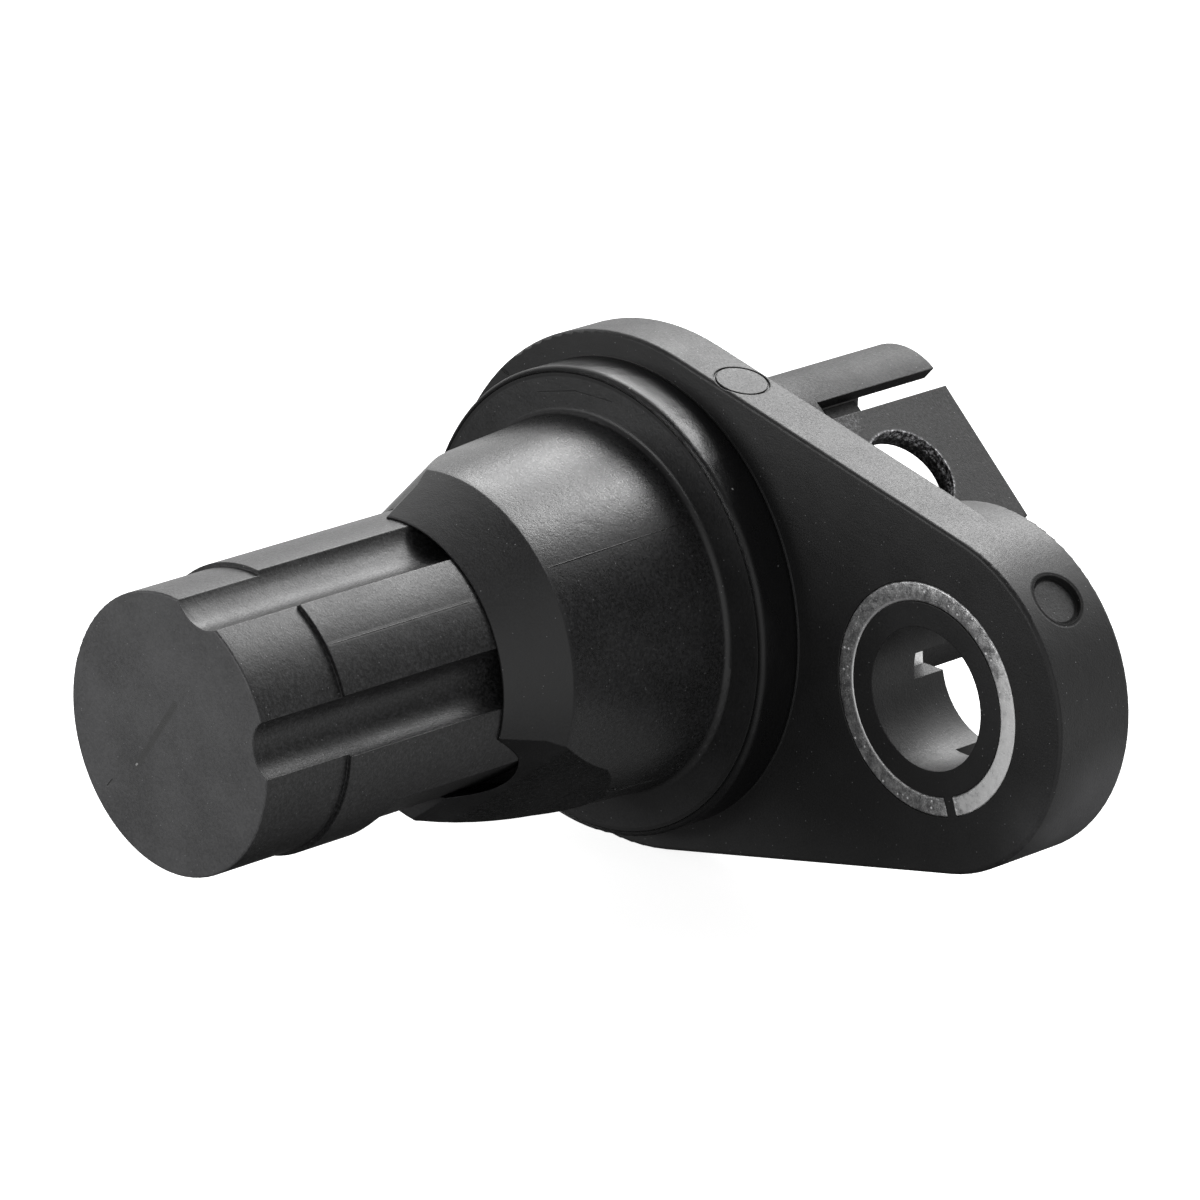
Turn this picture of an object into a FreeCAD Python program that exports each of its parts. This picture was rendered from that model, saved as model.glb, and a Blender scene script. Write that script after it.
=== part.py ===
import FreeCAD, Part
import math
import os

# Sensor frame used below: z runs along the sensor's axis from the flange's mounting face to the tip,
# x runs from that axis to the bolt hole, and angles are counted about the axis from x.
# Sizes are in millimetres and angles in degrees.

# Flange and ear
FLANGE_R = 13.0
FLANGE_T = 2.9
BOLT_PITCH = 20.0
EAR_R = 8.5
EAR_T = 4.85
FLANGE_ROUND = 0.2
BOLT_HOLE_R = 3.5
CORE_SLOT_W = 1.3

# Split bush moulded into the ear
BUSH_OUTER_R = 5.7
BUSH_WALL = 0.98
BUSH_GAP = 0.6
BUSH_GAP_ANGLE = -70.0

# Marks that the mould leaves on the rim
SIDE_MARK_R = 1.38
SIDE_MARK_LINE = 0.12
SIDE_MARK_DEPTH = 0.1
SIDE_MARK_ALONG = 3.2
EAR_MARK_R = 1.28
EAR_MARK_DEPTH = 0.28
EAR_MARK_ANGLE = 45.5
EAR_MARK_BEHIND = 2.3

# Shoulder behind the flange's face, and the rubber ring seated in it
SHOULDER_Z = 2.5
LIP_R = 11.4
LIP_T = 0.85
SEAL_SEAT_R = 10.4
SEAL_R = 11.7
SEAL_ROUND = 0.5
SEAL_CLEARANCE = 0.03
SEAL_FOOT_T = 0.1

# Barrel between the shoulder and the nose
BARREL_ROOT_R = 9.4
BARREL_FRONT_R = 8.7
BARREL_FRONT_Z = 12.0
ROOT_ROUND = 0.3
CONE_FRONT_R = 7.15
CONE_FRONT_Z = 15.0
PLAIN_FRONT_R = 8.87
PLAIN_FRONT_Z = 13.3
PLAIN_ROUND = 0.3
MOULD_ANGLE = 41.0
FACET_SPREAD = 94.0
FACET_NEAR_R = 7.0
FACET_NEAR_Z = 11.9
FACET_SLOPE = 0.427
FACET_CURVE_FRONT_Z = 12.9
FACET_CURVE_REAR_Z = 8.5
FACET_BULGE = 0.24

# Ribbed nose cap
TIP_Z = 29.5
TIP_ROUND = 0.08
TIP_WALL = 1.0
NOSE_TIP_R = 6.81
NOSE_R = 7.02
NOSE_STEP_Z = 24.5
CAP_BORE_R = 4.8
CAP_CLEARANCE = 0.03
CAP_SEAT_Z = 3.5
GROOVE_SPREAD = 32.0
GROOVE_WIDTH = 23.0
UPPER_GROOVE_FLOOR = 6.15
LOWER_GROOVE_FLOOR = 5.9
GROOVE_REAR_Z = 10.5
FLAT_SPREAD = 98.0
FLAT_R = 6.42
FLAT_FRONT_Z = 21.3
FLAT_RUNOUT = 0.8

# Round seal between the cap and the housing's bore
CAP_SEAL_Z = 7.0
CAP_SEAL_FLOOR_R = 6.0
CAP_SEAL_GROOVE_W = 1.4

# Socket for the mating plug
SOCKET_ANGLE = -42.5
SOCKET_R = 3.92
SOCKET_HALF_PITCH = 4.53
SOCKET_WALL = 0.92
SOCKET_REAR_Z = -22.6
SOCKET_FLOOR_Z = -9.0
TAB_HALF_W = 4.0
TAB_SLOT_W = 1.1
TAB_LENGTH = 8.45
TAB_T = 1.2
RIB_CLEARANCE = 0.1
RIB_HEIGHT = 0.9
RIB_REAR_Z = -17.4
LATCH_HOLE_R = 2.5
LATCH_HOLE_Z = -17.1

# Terminals and the carrier that holds them
TERMINAL_PITCH = 4.0
TERMINAL_T = 0.64
TERMINAL_W = 1.5
TERMINAL_POINT = 0.3
TERMINAL_REAR_Z = -17.0
TAIL_PITCH = 2.54
TAIL_W = 1.0
TAIL_ON_BOARD = 3.0
JOG_REAR_Z = -5.0
JOG_LENGTH = 3.0
CARRIER_HALF_PITCH = 3.6
CARRIER_R = 2.2
CARRIER_CLEARANCE = 0.02

# Holder, circuit board and resin inside the cap
RESIN_DEPTH = 2.9
HOLDER_CLEARANCE = 0.05
TIP_GAP = 0.05
BOARD_W = 7.4
BOARD_T = 0.8
BOARD_LENGTH = 13.0
BOARD_GAP = 0.2

# Chip, magnet and leads
CHIP_W = 4.1
CHIP_H = 3.0
CHIP_T = 1.55
MAGNET_R = 2.5
MAGNET_LENGTH = 4.5
PLATE_T = 0.5
POCKET_CLEARANCE = 0.04
LEAD_PITCH = 1.27
LEAD_W = 0.42
LEAD_T = 0.25
LEAD_BEND = 0.3
LEAD_OFF_MAGNET = 0.4
LEAD_ON_BOARD = 2.2
LEAD_DROP_GAP = 0.6

# Small parts soldered to the board
SMALL_PART_LENGTH = 2.0
SMALL_PART_W = 1.25
SMALL_PART_H = 0.85
SMALL_PART_PITCH = 2.4
SMALL_PART_FROM_TAIL = 2.6
TERMINAL_SOLDER_R = 0.85
LEAD_SOLDER_R = 0.5
SOLDER_HEIGHT_SHARE = 0.6

# Places worked out from the sizes above
INNER_TIP_Z = TIP_Z - TIP_WALL
CAP_HOUSING_R = NOSE_R + CAP_CLEARANCE
RESIN_FRONT_Z = CAP_SEAT_Z + RESIN_DEPTH
BOARD_REAR_Z = RESIN_FRONT_Z + BOARD_GAP
BOARD_FRONT_Z = BOARD_REAR_Z + BOARD_LENGTH
BOARD_SEAT_FRONT_Z = BOARD_FRONT_Z + BOARD_GAP
BOARD_TOP_Y = -TERMINAL_T / 2
BOARD_BOTTOM_Y = BOARD_TOP_Y - BOARD_T
TAIL_FRONT_Z = BOARD_REAR_Z + TAIL_ON_BOARD
CHIP_FRONT_Z = INNER_TIP_Z - TIP_GAP
CHIP_REAR_Z = CHIP_FRONT_Z - CHIP_T
PLATE_REAR_Z = CHIP_REAR_Z - PLATE_T
MAGNET_REAR_Z = PLATE_REAR_Z - MAGNET_LENGTH
LEAD_RUN_Y = MAGNET_R + LEAD_OFF_MAGNET
HOLDER_R = CAP_BORE_R - HOLDER_CLEARANCE
PLAY = 1.0

V = FreeCAD.Vector
CENTRE = V(0, 0, 0)
AXIS = V(0, 0, 1)


def rod(radius, rear, front, x=0.0):
    """A round bar along the sensor's axis, or beside it at x."""
    return Part.makeCylinder(radius, front - rear, V(x, 0, rear))


def tube(outer, inner, rear, front, x=0.0):
    """A round bar with a hole through it."""
    return rod(outer, rear, front, x).cut(rod(inner, rear, front, x))


def block(x_low, x_high, y_low, y_high, rear, front):
    """A box between two corners."""
    return Part.makeBox(x_high - x_low, y_high - y_low, front - rear, V(x_low, y_low, rear))


def turned(shape, angle):
    """A copy turned about the sensor's axis."""
    copy = shape.copy()
    copy.rotate(CENTRE, AXIS, angle)
    return copy


def at_socket(shape):
    """A copy turned from the socket's own square position to its real one."""
    return turned(shape, SOCKET_ANGLE)


def spun(edges, start=0.0, sweep=360.0):
    """The solid swept about the axis by a closed outline that lies in the plane of x and z."""
    face = Part.Face(Part.Wire(edges))
    return turned(face.revolve(CENTRE, AXIS, sweep), start)


def edge(start, end):
    """A straight edge between two points given as radius and z."""
    return Part.makeLine(V(start[0], 0, start[1]), V(end[0], 0, end[1]))


def quarter(start, end, centre):
    """A quarter round edge about a centre, all given as radius and z."""
    middle = V((start[0] + end[0]) / 2 - centre[0], 0, (start[1] + end[1]) / 2 - centre[1])
    radius = math.hypot(start[0] - centre[0], start[1] - centre[1])
    middle.normalize()
    through = V(centre[0], 0, centre[1]) + middle * radius
    return Part.Arc(V(start[0], 0, start[1]), through, V(end[0], 0, end[1])).toShape()


def across(edges, half_width, angle):
    """A prism whose outline lies in the plane through the axis at the angle."""
    prism = Part.Face(Part.Wire(edges)).extrude(V(0, 2 * half_width, 0))
    prism.translate(V(0, -half_width, 0))
    return turned(prism, angle)


def stadium(half_pitch, radius, rear, front):
    """A bar with a long round-ended section, its long side along x."""
    upper = Part.makeLine(V(-half_pitch, radius, rear), V(half_pitch, radius, rear))
    right = Part.Arc(
        V(half_pitch, radius, rear), V(half_pitch + radius, 0, rear), V(half_pitch, -radius, rear)
    ).toShape()
    lower = Part.makeLine(V(half_pitch, -radius, rear), V(-half_pitch, -radius, rear))
    left = Part.Arc(
        V(-half_pitch, -radius, rear), V(-half_pitch - radius, 0, rear), V(-half_pitch, radius, rear)
    ).toShape()
    face = Part.Face(Part.Wire([upper, right, lower, left]))
    return face.extrude(V(0, 0, front - rear))


def all_fused(shapes):
    """One solid of all the shapes, without seams between them."""
    whole = shapes[0]
    for shape in shapes[1:]:
        whole = whole.fuse(shape)
    return whole.removeSplitter()


def rounded_at(solid, z, radius):
    """The solid with every edge that lies in the plane at z rounded."""
    edges = [e for e in solid.Edges if all(abs(v.Z - z) < 1e-6 for v in e.Vertexes)]
    return solid.makeFillet(radius, edges)


# Housing: flange, ear, barrel and socket are one moulding


def flange_lean():
    """The angle by which the flange's two straight sides close in towards the ear."""
    return math.degrees(math.asin((FLANGE_R - EAR_R) / BOLT_PITCH))


def flange_plate():
    """Plate of the flange: a large round and the ear's round joined by straight sides."""
    lean = math.radians(flange_lean())
    side = V(math.sin(lean), math.cos(lean), 0)
    low_side = V(side.x, -side.y, 0)
    ear = V(BOLT_PITCH, 0, 0)
    top = Part.makeLine(side * FLANGE_R, ear + side * EAR_R)
    ear_end = Part.Arc(ear + side * EAR_R, ear + V(EAR_R, 0, 0), ear + low_side * EAR_R).toShape()
    bottom = Part.makeLine(ear + low_side * EAR_R, low_side * FLANGE_R)
    round_end = Part.Arc(low_side * FLANGE_R, V(-FLANGE_R, 0, 0), side * FLANGE_R).toShape()
    outline = Part.Wire([top, ear_end, bottom, round_end])
    plate = Part.Face(outline).extrude(V(0, 0, -FLANGE_T))
    return rounded_at(plate, 0.0, FLANGE_ROUND)


def ear_boss():
    """Thicker pad behind the ear, rounded at its back edge."""
    boss = rod(EAR_R, -EAR_T, -FLANGE_ROUND, BOLT_PITCH)
    return rounded_at(boss, -EAR_T, FLANGE_ROUND)


def bush_ring(rear, front):
    """The split ring's shape between two planes."""
    ring = tube(BUSH_OUTER_R, BUSH_OUTER_R - BUSH_WALL, rear, front)
    gap = block(0, BUSH_OUTER_R + PLAY, -BUSH_GAP / 2, BUSH_GAP / 2, rear, front)
    split = ring.cut(turned(gap, BUSH_GAP_ANGLE))
    split.translate(V(BOLT_PITCH, 0, 0))
    return split


def bolt_hole_cutter():
    """Bolt hole, with the four core slots that open its rear half to the bush."""
    hole = rod(BOLT_HOLE_R, -EAR_T - PLAY, PLAY, BOLT_PITCH)
    reach = BUSH_OUTER_R - BUSH_WALL
    half = CORE_SLOT_W / 2
    across = block(BOLT_PITCH - reach, BOLT_PITCH + reach, -half, half, -EAR_T - PLAY, -FLANGE_T)
    upright = block(BOLT_PITCH - half, BOLT_PITCH + half, -reach, reach, -EAR_T - PLAY, -FLANGE_T)
    slots = across.fuse(upright).common(rod(reach, -EAR_T - PLAY, -FLANGE_T, BOLT_PITCH))
    return hole.fuse(slots)


def placed_mark(mark, point, normal_angle):
    """The mark moved to a point of the rim, with its axis along the rim's normal."""
    mark.rotate(CENTRE, V(0, 1, 0), 90)
    mark.rotate(CENTRE, AXIS, normal_angle)
    mark.translate(point)
    return mark


def rim_marks():
    """Ejector ring on the upper straight side and the round gate mark on the ear's rim."""
    normal_angle = 90 - flange_lean()
    normal = V(math.cos(math.radians(normal_angle)), math.sin(math.radians(normal_angle)), 0)
    along = V(normal.y, -normal.x, 0)
    side_point = normal * FLANGE_R + along * SIDE_MARK_ALONG + V(0, 0, -FLANGE_T / 2)
    ring = tube(SIDE_MARK_R, SIDE_MARK_R - SIDE_MARK_LINE, -SIDE_MARK_DEPTH, PLAY)
    ejector = placed_mark(ring, side_point, normal_angle)
    ear_angle = math.radians(EAR_MARK_ANGLE)
    outward = V(math.cos(ear_angle), math.sin(ear_angle), 0)
    ear_point = V(BOLT_PITCH, 0, -EAR_MARK_BEHIND) + outward * EAR_R
    gate = placed_mark(rod(EAR_MARK_R, -EAR_MARK_DEPTH, PLAY), ear_point, EAR_MARK_ANGLE)
    return ejector.fuse(gate)


def barrel_root():
    """Outline edges from the axis to the barrel's taper, with the small round at its root."""
    corner = (BARREL_ROOT_R + ROOT_ROUND, SHOULDER_Z)
    start = (BARREL_ROOT_R, SHOULDER_Z + ROOT_ROUND)
    centre = (BARREL_ROOT_R + ROOT_ROUND, SHOULDER_Z + ROOT_ROUND)
    edges = [
        edge((0, -FLANGE_T), (corner[0], -FLANGE_T)),
        edge((corner[0], -FLANGE_T), corner),
        quarter(corner, start, centre),
    ]
    return edges, start


def barrel():
    """Tapered barrel: coned front on one half, plain front on the other, and two sloping facets."""
    root, start = barrel_root()
    shoulder = (BARREL_FRONT_R, BARREL_FRONT_Z)
    cone_front = (CONE_FRONT_R, CONE_FRONT_Z)
    cone_edges = root + [
        edge(start, shoulder),
        edge(shoulder, cone_front),
        edge(cone_front, (0, CONE_FRONT_Z)),
        edge((0, CONE_FRONT_Z), (0, -FLANGE_T)),
    ]
    plain_low = (PLAIN_FRONT_R, PLAIN_FRONT_Z - PLAIN_ROUND)
    plain_top = (PLAIN_FRONT_R - PLAIN_ROUND, PLAIN_FRONT_Z)
    plain_edges = root + [
        edge(start, plain_low),
        quarter(plain_low, plain_top, (plain_top[0], plain_low[1])),
        edge(plain_top, (0, PLAIN_FRONT_Z)),
        edge((0, PLAIN_FRONT_Z), (0, -FLANGE_T)),
    ]
    coned = spun(cone_edges, MOULD_ANGLE - 90, 180)
    plain = spun(plain_edges, MOULD_ANGLE + 90, 180)
    solid = all_fused([coned, plain])
    for side in (-1, 1):
        solid = solid.cut(facet_cutter(MOULD_ANGLE + side * FACET_SPREAD))
    return solid


def facet_r(z):
    """Distance of a facet's plane from the axis at z."""
    return FACET_NEAR_R + (FACET_NEAR_Z - z) * FACET_SLOPE


def facet_cutter(angle):
    """What lies outside one sloping facet, which bulges slightly between its two straight ends."""
    wide = FLANGE_R + PLAY
    front_z = CONE_FRONT_Z + PLAY
    rear_z = FACET_NEAR_Z - (wide - FACET_NEAR_R) / FACET_SLOPE
    middle_z = (FACET_CURVE_FRONT_Z + FACET_CURVE_REAR_Z) / 2
    curve_front = (facet_r(FACET_CURVE_FRONT_Z), FACET_CURVE_FRONT_Z)
    curve_rear = (facet_r(FACET_CURVE_REAR_Z), FACET_CURVE_REAR_Z)
    curve_middle = V(facet_r(middle_z) + FACET_BULGE, 0, middle_z)
    curve = Part.Arc(
        V(curve_front[0], 0, curve_front[1]), curve_middle, V(curve_rear[0], 0, curve_rear[1])
    ).toShape()
    outline = [
        edge((facet_r(front_z), front_z), curve_front),
        curve,
        edge(curve_rear, (wide, rear_z)),
        edge((wide, rear_z), (wide, front_z)),
        edge((wide, front_z), (facet_r(front_z), front_z)),
    ]
    return across(outline, wide, angle)


def shoulder_disc():
    """Disc in front of the flange: a low foot behind the rubber ring, its seat and a lip in front."""
    foot = rod(SEAL_R, -FLANGE_T, SEAL_FOOT_T)
    seat = rod(SEAL_SEAT_R, -FLANGE_T, SHOULDER_Z)
    lip = rod(LIP_R, SHOULDER_Z - LIP_T, SHOULDER_Z)
    return foot.fuse(seat).fuse(lip)


def socket_shell():
    """Round-ended tube for the mating plug: a thicker latch tab between two slots, a rib under each."""
    inner_r = SOCKET_R - SOCKET_WALL
    slot_end = SOCKET_REAR_Z + TAB_LENGTH
    inside = stadium(SOCKET_HALF_PITCH, inner_r, SOCKET_REAR_Z - PLAY, SOCKET_FLOOR_Z)
    tab_inner = SOCKET_R - TAB_T
    tab_pad = block(-TAB_HALF_W, TAB_HALF_W, tab_inner, SOCKET_R, SOCKET_REAR_Z - PLAY, slot_end)
    shell = stadium(SOCKET_HALF_PITCH, SOCKET_R, SOCKET_REAR_Z, -FLANGE_ROUND).cut(inside.cut(tab_pad))
    for side in (-1, 1):
        low, high = sorted((side * TAB_HALF_W, side * (TAB_HALF_W + TAB_SLOT_W)))
        slot = block(low, high, inner_r / 2, SOCKET_R + PLAY, SOCKET_REAR_Z - PLAY, slot_end)
        rib_foot = inner_r - RIB_HEIGHT
        rib_low = low + RIB_CLEARANCE
        rib_high = high - RIB_CLEARANCE
        rib = block(rib_low, rib_high, rib_foot, inner_r, RIB_REAR_Z, SOCKET_FLOOR_Z)
        shell = shell.cut(slot).fuse(rib)
    latch = Part.makeCylinder(LATCH_HOLE_R, SOCKET_R, V(0, inner_r / 2, LATCH_HOLE_Z), V(0, 1, 0))
    return at_socket(shell.cut(latch))


def housing():
    """The one-piece black moulding."""
    solid = all_fused([flange_plate(), ear_boss(), shoulder_disc(), barrel(), socket_shell()])
    passage = stadium(
        CARRIER_HALF_PITCH, CARRIER_R + CARRIER_CLEARANCE, SOCKET_FLOOR_Z - PLAY, CAP_SEAT_Z + PLAY
    )
    cuts = [
        rod(CAP_HOUSING_R, CAP_SEAT_Z, CONE_FRONT_Z + PLAY),
        at_socket(passage),
        bolt_hole_cutter(),
        bush_ring(-EAR_T - PLAY, PLAY),
        rim_marks(),
    ]
    for cut in cuts:
        solid = solid.cut(cut)
    return solid


def mounting_bush():
    """Split steel ring, flush with both faces of the ear."""
    return bush_ring(-EAR_T, 0.0)


def seal_ring():
    """Rubber ring on the shoulder, its front edge rolled round the lip."""
    inner = SEAL_SEAT_R + SEAL_CLEARANCE
    lip_side = LIP_R + SEAL_CLEARANCE
    lip_rear = SHOULDER_Z - LIP_T
    rounding = min(SEAL_ROUND, SEAL_R - lip_side)
    side_top = (SEAL_R, SHOULDER_Z - rounding)
    crown = (SEAL_R - rounding, SHOULDER_Z)
    edges = [
        edge((inner, SEAL_FOOT_T), (SEAL_R, SEAL_FOOT_T)),
        edge((SEAL_R, SEAL_FOOT_T), side_top),
        quarter(side_top, crown, (crown[0], side_top[1])),
        edge((lip_side, SHOULDER_Z), (lip_side, lip_rear)),
        edge((lip_side, lip_rear), (inner, lip_rear)),
        edge((inner, lip_rear), (inner, SEAL_FOOT_T)),
    ]
    if crown[0] > lip_side:
        edges.insert(3, edge(crown, (lip_side, SHOULDER_Z)))
    return spun(edges)


# Nose cap and its round seal


def groove_cutter(angle, floor_r):
    """A round-bottomed channel along the nose at the angle."""
    half = math.radians(GROOVE_WIDTH / 2)
    rim_x = NOSE_TIP_R * math.cos(half)
    rim_y = NOSE_TIP_R * math.sin(half)
    depth = rim_x - floor_r
    radius = (depth ** 2 + rim_y ** 2) / (2 * depth)
    return turned(rod(radius, GROOVE_REAR_Z, TIP_Z + PLAY, floor_r + radius), angle)


def flat_cutter(angle):
    """What lies outside one flat of the nose, running out at its front end."""
    wide = NOSE_R + PLAY
    slope = FLAT_RUNOUT / (NOSE_R - FLAT_R)
    rear = (FLAT_R, GROOVE_REAR_Z)
    front = (FLAT_R, FLAT_FRONT_Z - FLAT_RUNOUT)
    runout = (wide, FLAT_FRONT_Z + slope * PLAY)
    corner = (wide, GROOVE_REAR_Z)
    outline = [edge(rear, front), edge(front, runout), edge(runout, corner), edge(corner, rear)]
    return across(outline, wide, angle)


def nose_cap():
    """Closed cap over the electronics: two grooves, two flats and a step near the tip."""
    front = rounded_at(rod(NOSE_TIP_R, NOSE_STEP_Z - PLAY, TIP_Z), TIP_Z, TIP_ROUND)
    cap = all_fused([rod(NOSE_R, CAP_SEAT_Z, NOSE_STEP_Z), front])
    cap = cap.cut(groove_cutter(MOULD_ANGLE + GROOVE_SPREAD, UPPER_GROOVE_FLOOR))
    cap = cap.cut(groove_cutter(MOULD_ANGLE - GROOVE_SPREAD, LOWER_GROOVE_FLOOR))
    for side in (-1, 1):
        cap = cap.cut(flat_cutter(MOULD_ANGLE + side * FLAT_SPREAD))
    half = CAP_SEAL_GROOVE_W / 2
    seal_groove = tube(NOSE_R + PLAY, CAP_SEAL_FLOOR_R, CAP_SEAL_Z - half, CAP_SEAL_Z + half)
    cap = cap.cut(seal_groove)
    return cap.cut(rod(CAP_BORE_R, CAP_SEAT_Z - PLAY, INNER_TIP_Z))


def cap_seal_ring():
    """Round rubber ring pressed between the cap's groove and the housing's bore."""
    section = (CAP_HOUSING_R - CAP_SEAL_FLOOR_R) / 2
    return Part.makeTorus(CAP_SEAL_FLOOR_R + section, section, V(0, 0, CAP_SEAL_Z))


# Terminals, carrier and resin


def terminal(place):
    """One stamped terminal: a blade in the socket, a jog in the carrier and a tail on the board."""
    blade_x = place * TERMINAL_PITCH
    tail_x = place * TAIL_PITCH
    blade = TERMINAL_W / 2
    tail = TAIL_W / 2
    jog_front_z = JOG_REAR_Z + JOG_LENGTH
    point_z = TERMINAL_REAR_Z + TERMINAL_POINT
    right_side = [
        (blade_x + blade - TERMINAL_POINT, TERMINAL_REAR_Z),
        (blade_x + blade, point_z),
        (blade_x + blade, JOG_REAR_Z),
        (tail_x + tail, jog_front_z),
        (tail_x + tail, TAIL_FRONT_Z),
    ]
    left_side = [
        (tail_x - tail, TAIL_FRONT_Z),
        (tail_x - tail, jog_front_z),
        (blade_x - blade, JOG_REAR_Z),
        (blade_x - blade, point_z),
        (blade_x - blade + TERMINAL_POINT, TERMINAL_REAR_Z),
    ]
    points = right_side + left_side + right_side[:1]
    outline = Part.makePolygon([V(x, -TERMINAL_T / 2, z) for x, z in points])
    return at_socket(Part.Face(outline).extrude(V(0, TERMINAL_T, 0)))


def without_terminals(solid):
    """The solid with the three terminals' room cut out."""
    for place in (-1, 0, 1):
        solid = solid.cut(terminal(place))
    return solid


def terminal_carrier():
    """Moulded block that holds the three terminals at their pitch."""
    block_shape = stadium(CARRIER_HALF_PITCH, CARRIER_R, SOCKET_FLOOR_Z, CAP_SEAT_Z)
    return without_terminals(at_socket(block_shape))


def potting_resin():
    """Resin plug that closes the cap's rear end around the terminals."""
    return without_terminals(rod(CAP_BORE_R - CAP_CLEARANCE, CAP_SEAT_Z, RESIN_FRONT_Z))


# Holder and what it carries


def chip_holder():
    """Moulding inside the cap: a half-round tray for the board and pockets for magnet and chip."""
    holder = rod(HOLDER_R, RESIN_FRONT_Z, CHIP_FRONT_Z)
    tray = block(-HOLDER_R, HOLDER_R, BOARD_BOTTOM_Y, HOLDER_R, RESIN_FRONT_Z, BOARD_SEAT_FRONT_Z)
    magnet_room = rod(MAGNET_R + POCKET_CLEARANCE, MAGNET_REAR_Z, CHIP_FRONT_Z)
    chip_x = CHIP_W / 2 + POCKET_CLEARANCE
    chip_y = CHIP_H / 2 + POCKET_CLEARANCE
    chip_room = block(-chip_x, chip_x, -chip_y, chip_y, CHIP_REAR_Z, CHIP_FRONT_Z + PLAY)
    lead_x = LEAD_PITCH + LEAD_W / 2 + LEAD_OFF_MAGNET
    lead_floor_y = LEAD_RUN_Y - POCKET_CLEARANCE
    lead_room = block(-lead_x, lead_x, lead_floor_y, HOLDER_R, BOARD_FRONT_Z, CHIP_FRONT_Z + PLAY)
    chip_exit = block(-lead_x, lead_x, 0, lead_floor_y, CHIP_REAR_Z, CHIP_FRONT_Z + PLAY)
    for room in (tray, magnet_room, chip_room, lead_room, chip_exit):
        holder = holder.cut(room)
    return at_socket(holder)


def hall_chip():
    """Sensing chip, flat against the inside of the cap's tip."""
    half_w = CHIP_W / 2
    half_h = CHIP_H / 2
    return at_socket(block(-half_w, half_w, -half_h, half_h, CHIP_REAR_Z, CHIP_FRONT_Z))


def pole_plate():
    """Thin steel disc between the magnet and the chip."""
    return rod(MAGNET_R, PLATE_REAR_Z, CHIP_REAR_Z)


def bias_magnet():
    """Round magnet behind the pole plate."""
    return rod(MAGNET_R, MAGNET_REAR_Z, PLATE_REAR_Z)


def rounded_path(points, radius):
    """A wire through the points, given as y and z, with every corner an arc of the radius."""
    spots = [V(0, y, z) for y, z in points]
    edges = []
    last = spots[0]
    for before, corner, after in zip(spots, spots[1:], spots[2:]):
        back = (before - corner).normalize()
        on = (after - corner).normalize()
        start = corner + back * radius
        end = corner + on * radius
        centre = corner + (back + on) * radius
        middle = centre + (corner - centre).normalize() * radius
        edges.append(Part.makeLine(last, start))
        edges.append(Part.Arc(start, middle, end).toShape())
        last = end
    edges.append(Part.makeLine(last, spots[-1]))
    return Part.Wire(edges)


def bent_strip(centre_points, thickness, width, bend):
    """A flat strip folded square along the points, which give its middle line as y and z."""
    half = thickness / 2
    path = rounded_path(centre_points, bend + half)
    section_centre = path.Vertexes[0].Point
    first_run = V(0, *centre_points[1]) - V(0, *centre_points[0])
    side = V(1, 0, 0).cross(first_run.normalize()) * half
    across = V(width / 2, 0, 0)
    corners = [
        section_centre + side + across,
        section_centre + side - across,
        section_centre - side - across,
        section_centre - side + across,
    ]
    section = Part.makePolygon(corners + corners[:1])
    return path.makePipeShell([section], True, False, 2)


def chip_lead(place):
    """One of the chip's three leads: up from the chip, back past the magnet and down to the board."""
    half = LEAD_T / 2
    lead_y = LEAD_RUN_Y + half
    board_y = BOARD_TOP_Y + half
    chip_z = (CHIP_FRONT_Z + CHIP_REAR_Z) / 2
    drop_z = BOARD_FRONT_Z - LEAD_DROP_GAP
    points = [
        (CHIP_H / 2, chip_z),
        (lead_y, chip_z),
        (lead_y, drop_z),
        (board_y, drop_z),
        (board_y, drop_z - LEAD_ON_BOARD),
    ]
    lead = bent_strip(points, LEAD_T, LEAD_W, LEAD_BEND)
    lead.translate(V(place * LEAD_PITCH, 0, 0))
    return at_socket(lead)


def circuit_board():
    """Small board that lies in the holder's tray."""
    half = BOARD_W / 2
    return at_socket(block(-half, half, BOARD_BOTTOM_Y, BOARD_TOP_Y, BOARD_REAR_Z, BOARD_FRONT_Z))


def small_part(place):
    """One small ceramic part on the board, between the tails and the chip's leads."""
    half_w = SMALL_PART_W / 2
    middle = place * SMALL_PART_PITCH
    rear = TAIL_FRONT_Z + SMALL_PART_FROM_TAIL - SMALL_PART_LENGTH / 2
    front = rear + SMALL_PART_LENGTH
    top = BOARD_TOP_Y + SMALL_PART_H
    return at_socket(block(middle - half_w, middle + half_w, BOARD_TOP_Y, top, rear, front))


def solder_mound(x, z, radius):
    """A low round mound of solder on the board's upper face."""
    drop = radius * (1 - SOLDER_HEIGHT_SHARE)
    ball_r = math.hypot(radius, drop)
    ball = Part.makeSphere(ball_r, V(x, BOARD_TOP_Y - drop, z))
    above = block(x - ball_r, x + ball_r, BOARD_TOP_Y, BOARD_TOP_Y + ball_r, z - ball_r, z + ball_r)
    return ball.common(above)


def terminal_solder():
    """Solder on the three terminals' tails."""
    mounds = []
    for place in (-1, 0, 1):
        mound = at_socket(solder_mound(place * TAIL_PITCH, TAIL_FRONT_Z, TERMINAL_SOLDER_R))
        mounds.append(mound.cut(terminal(place)))
    return Part.makeCompound(mounds)


def lead_solder():
    """Solder on the ends of the chip's three leads."""
    end_z = BOARD_FRONT_Z - LEAD_DROP_GAP - LEAD_ON_BOARD
    mounds = []
    for place in (-1, 0, 1):
        mound = at_socket(solder_mound(place * LEAD_PITCH, end_z, LEAD_SOLDER_R))
        mounds.append(mound.cut(chip_lead(place)))
    return Part.makeCompound(mounds)


# Row frame: the sensor lies down, its tip along -Y and the bolt hole along +X from its axis


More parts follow.
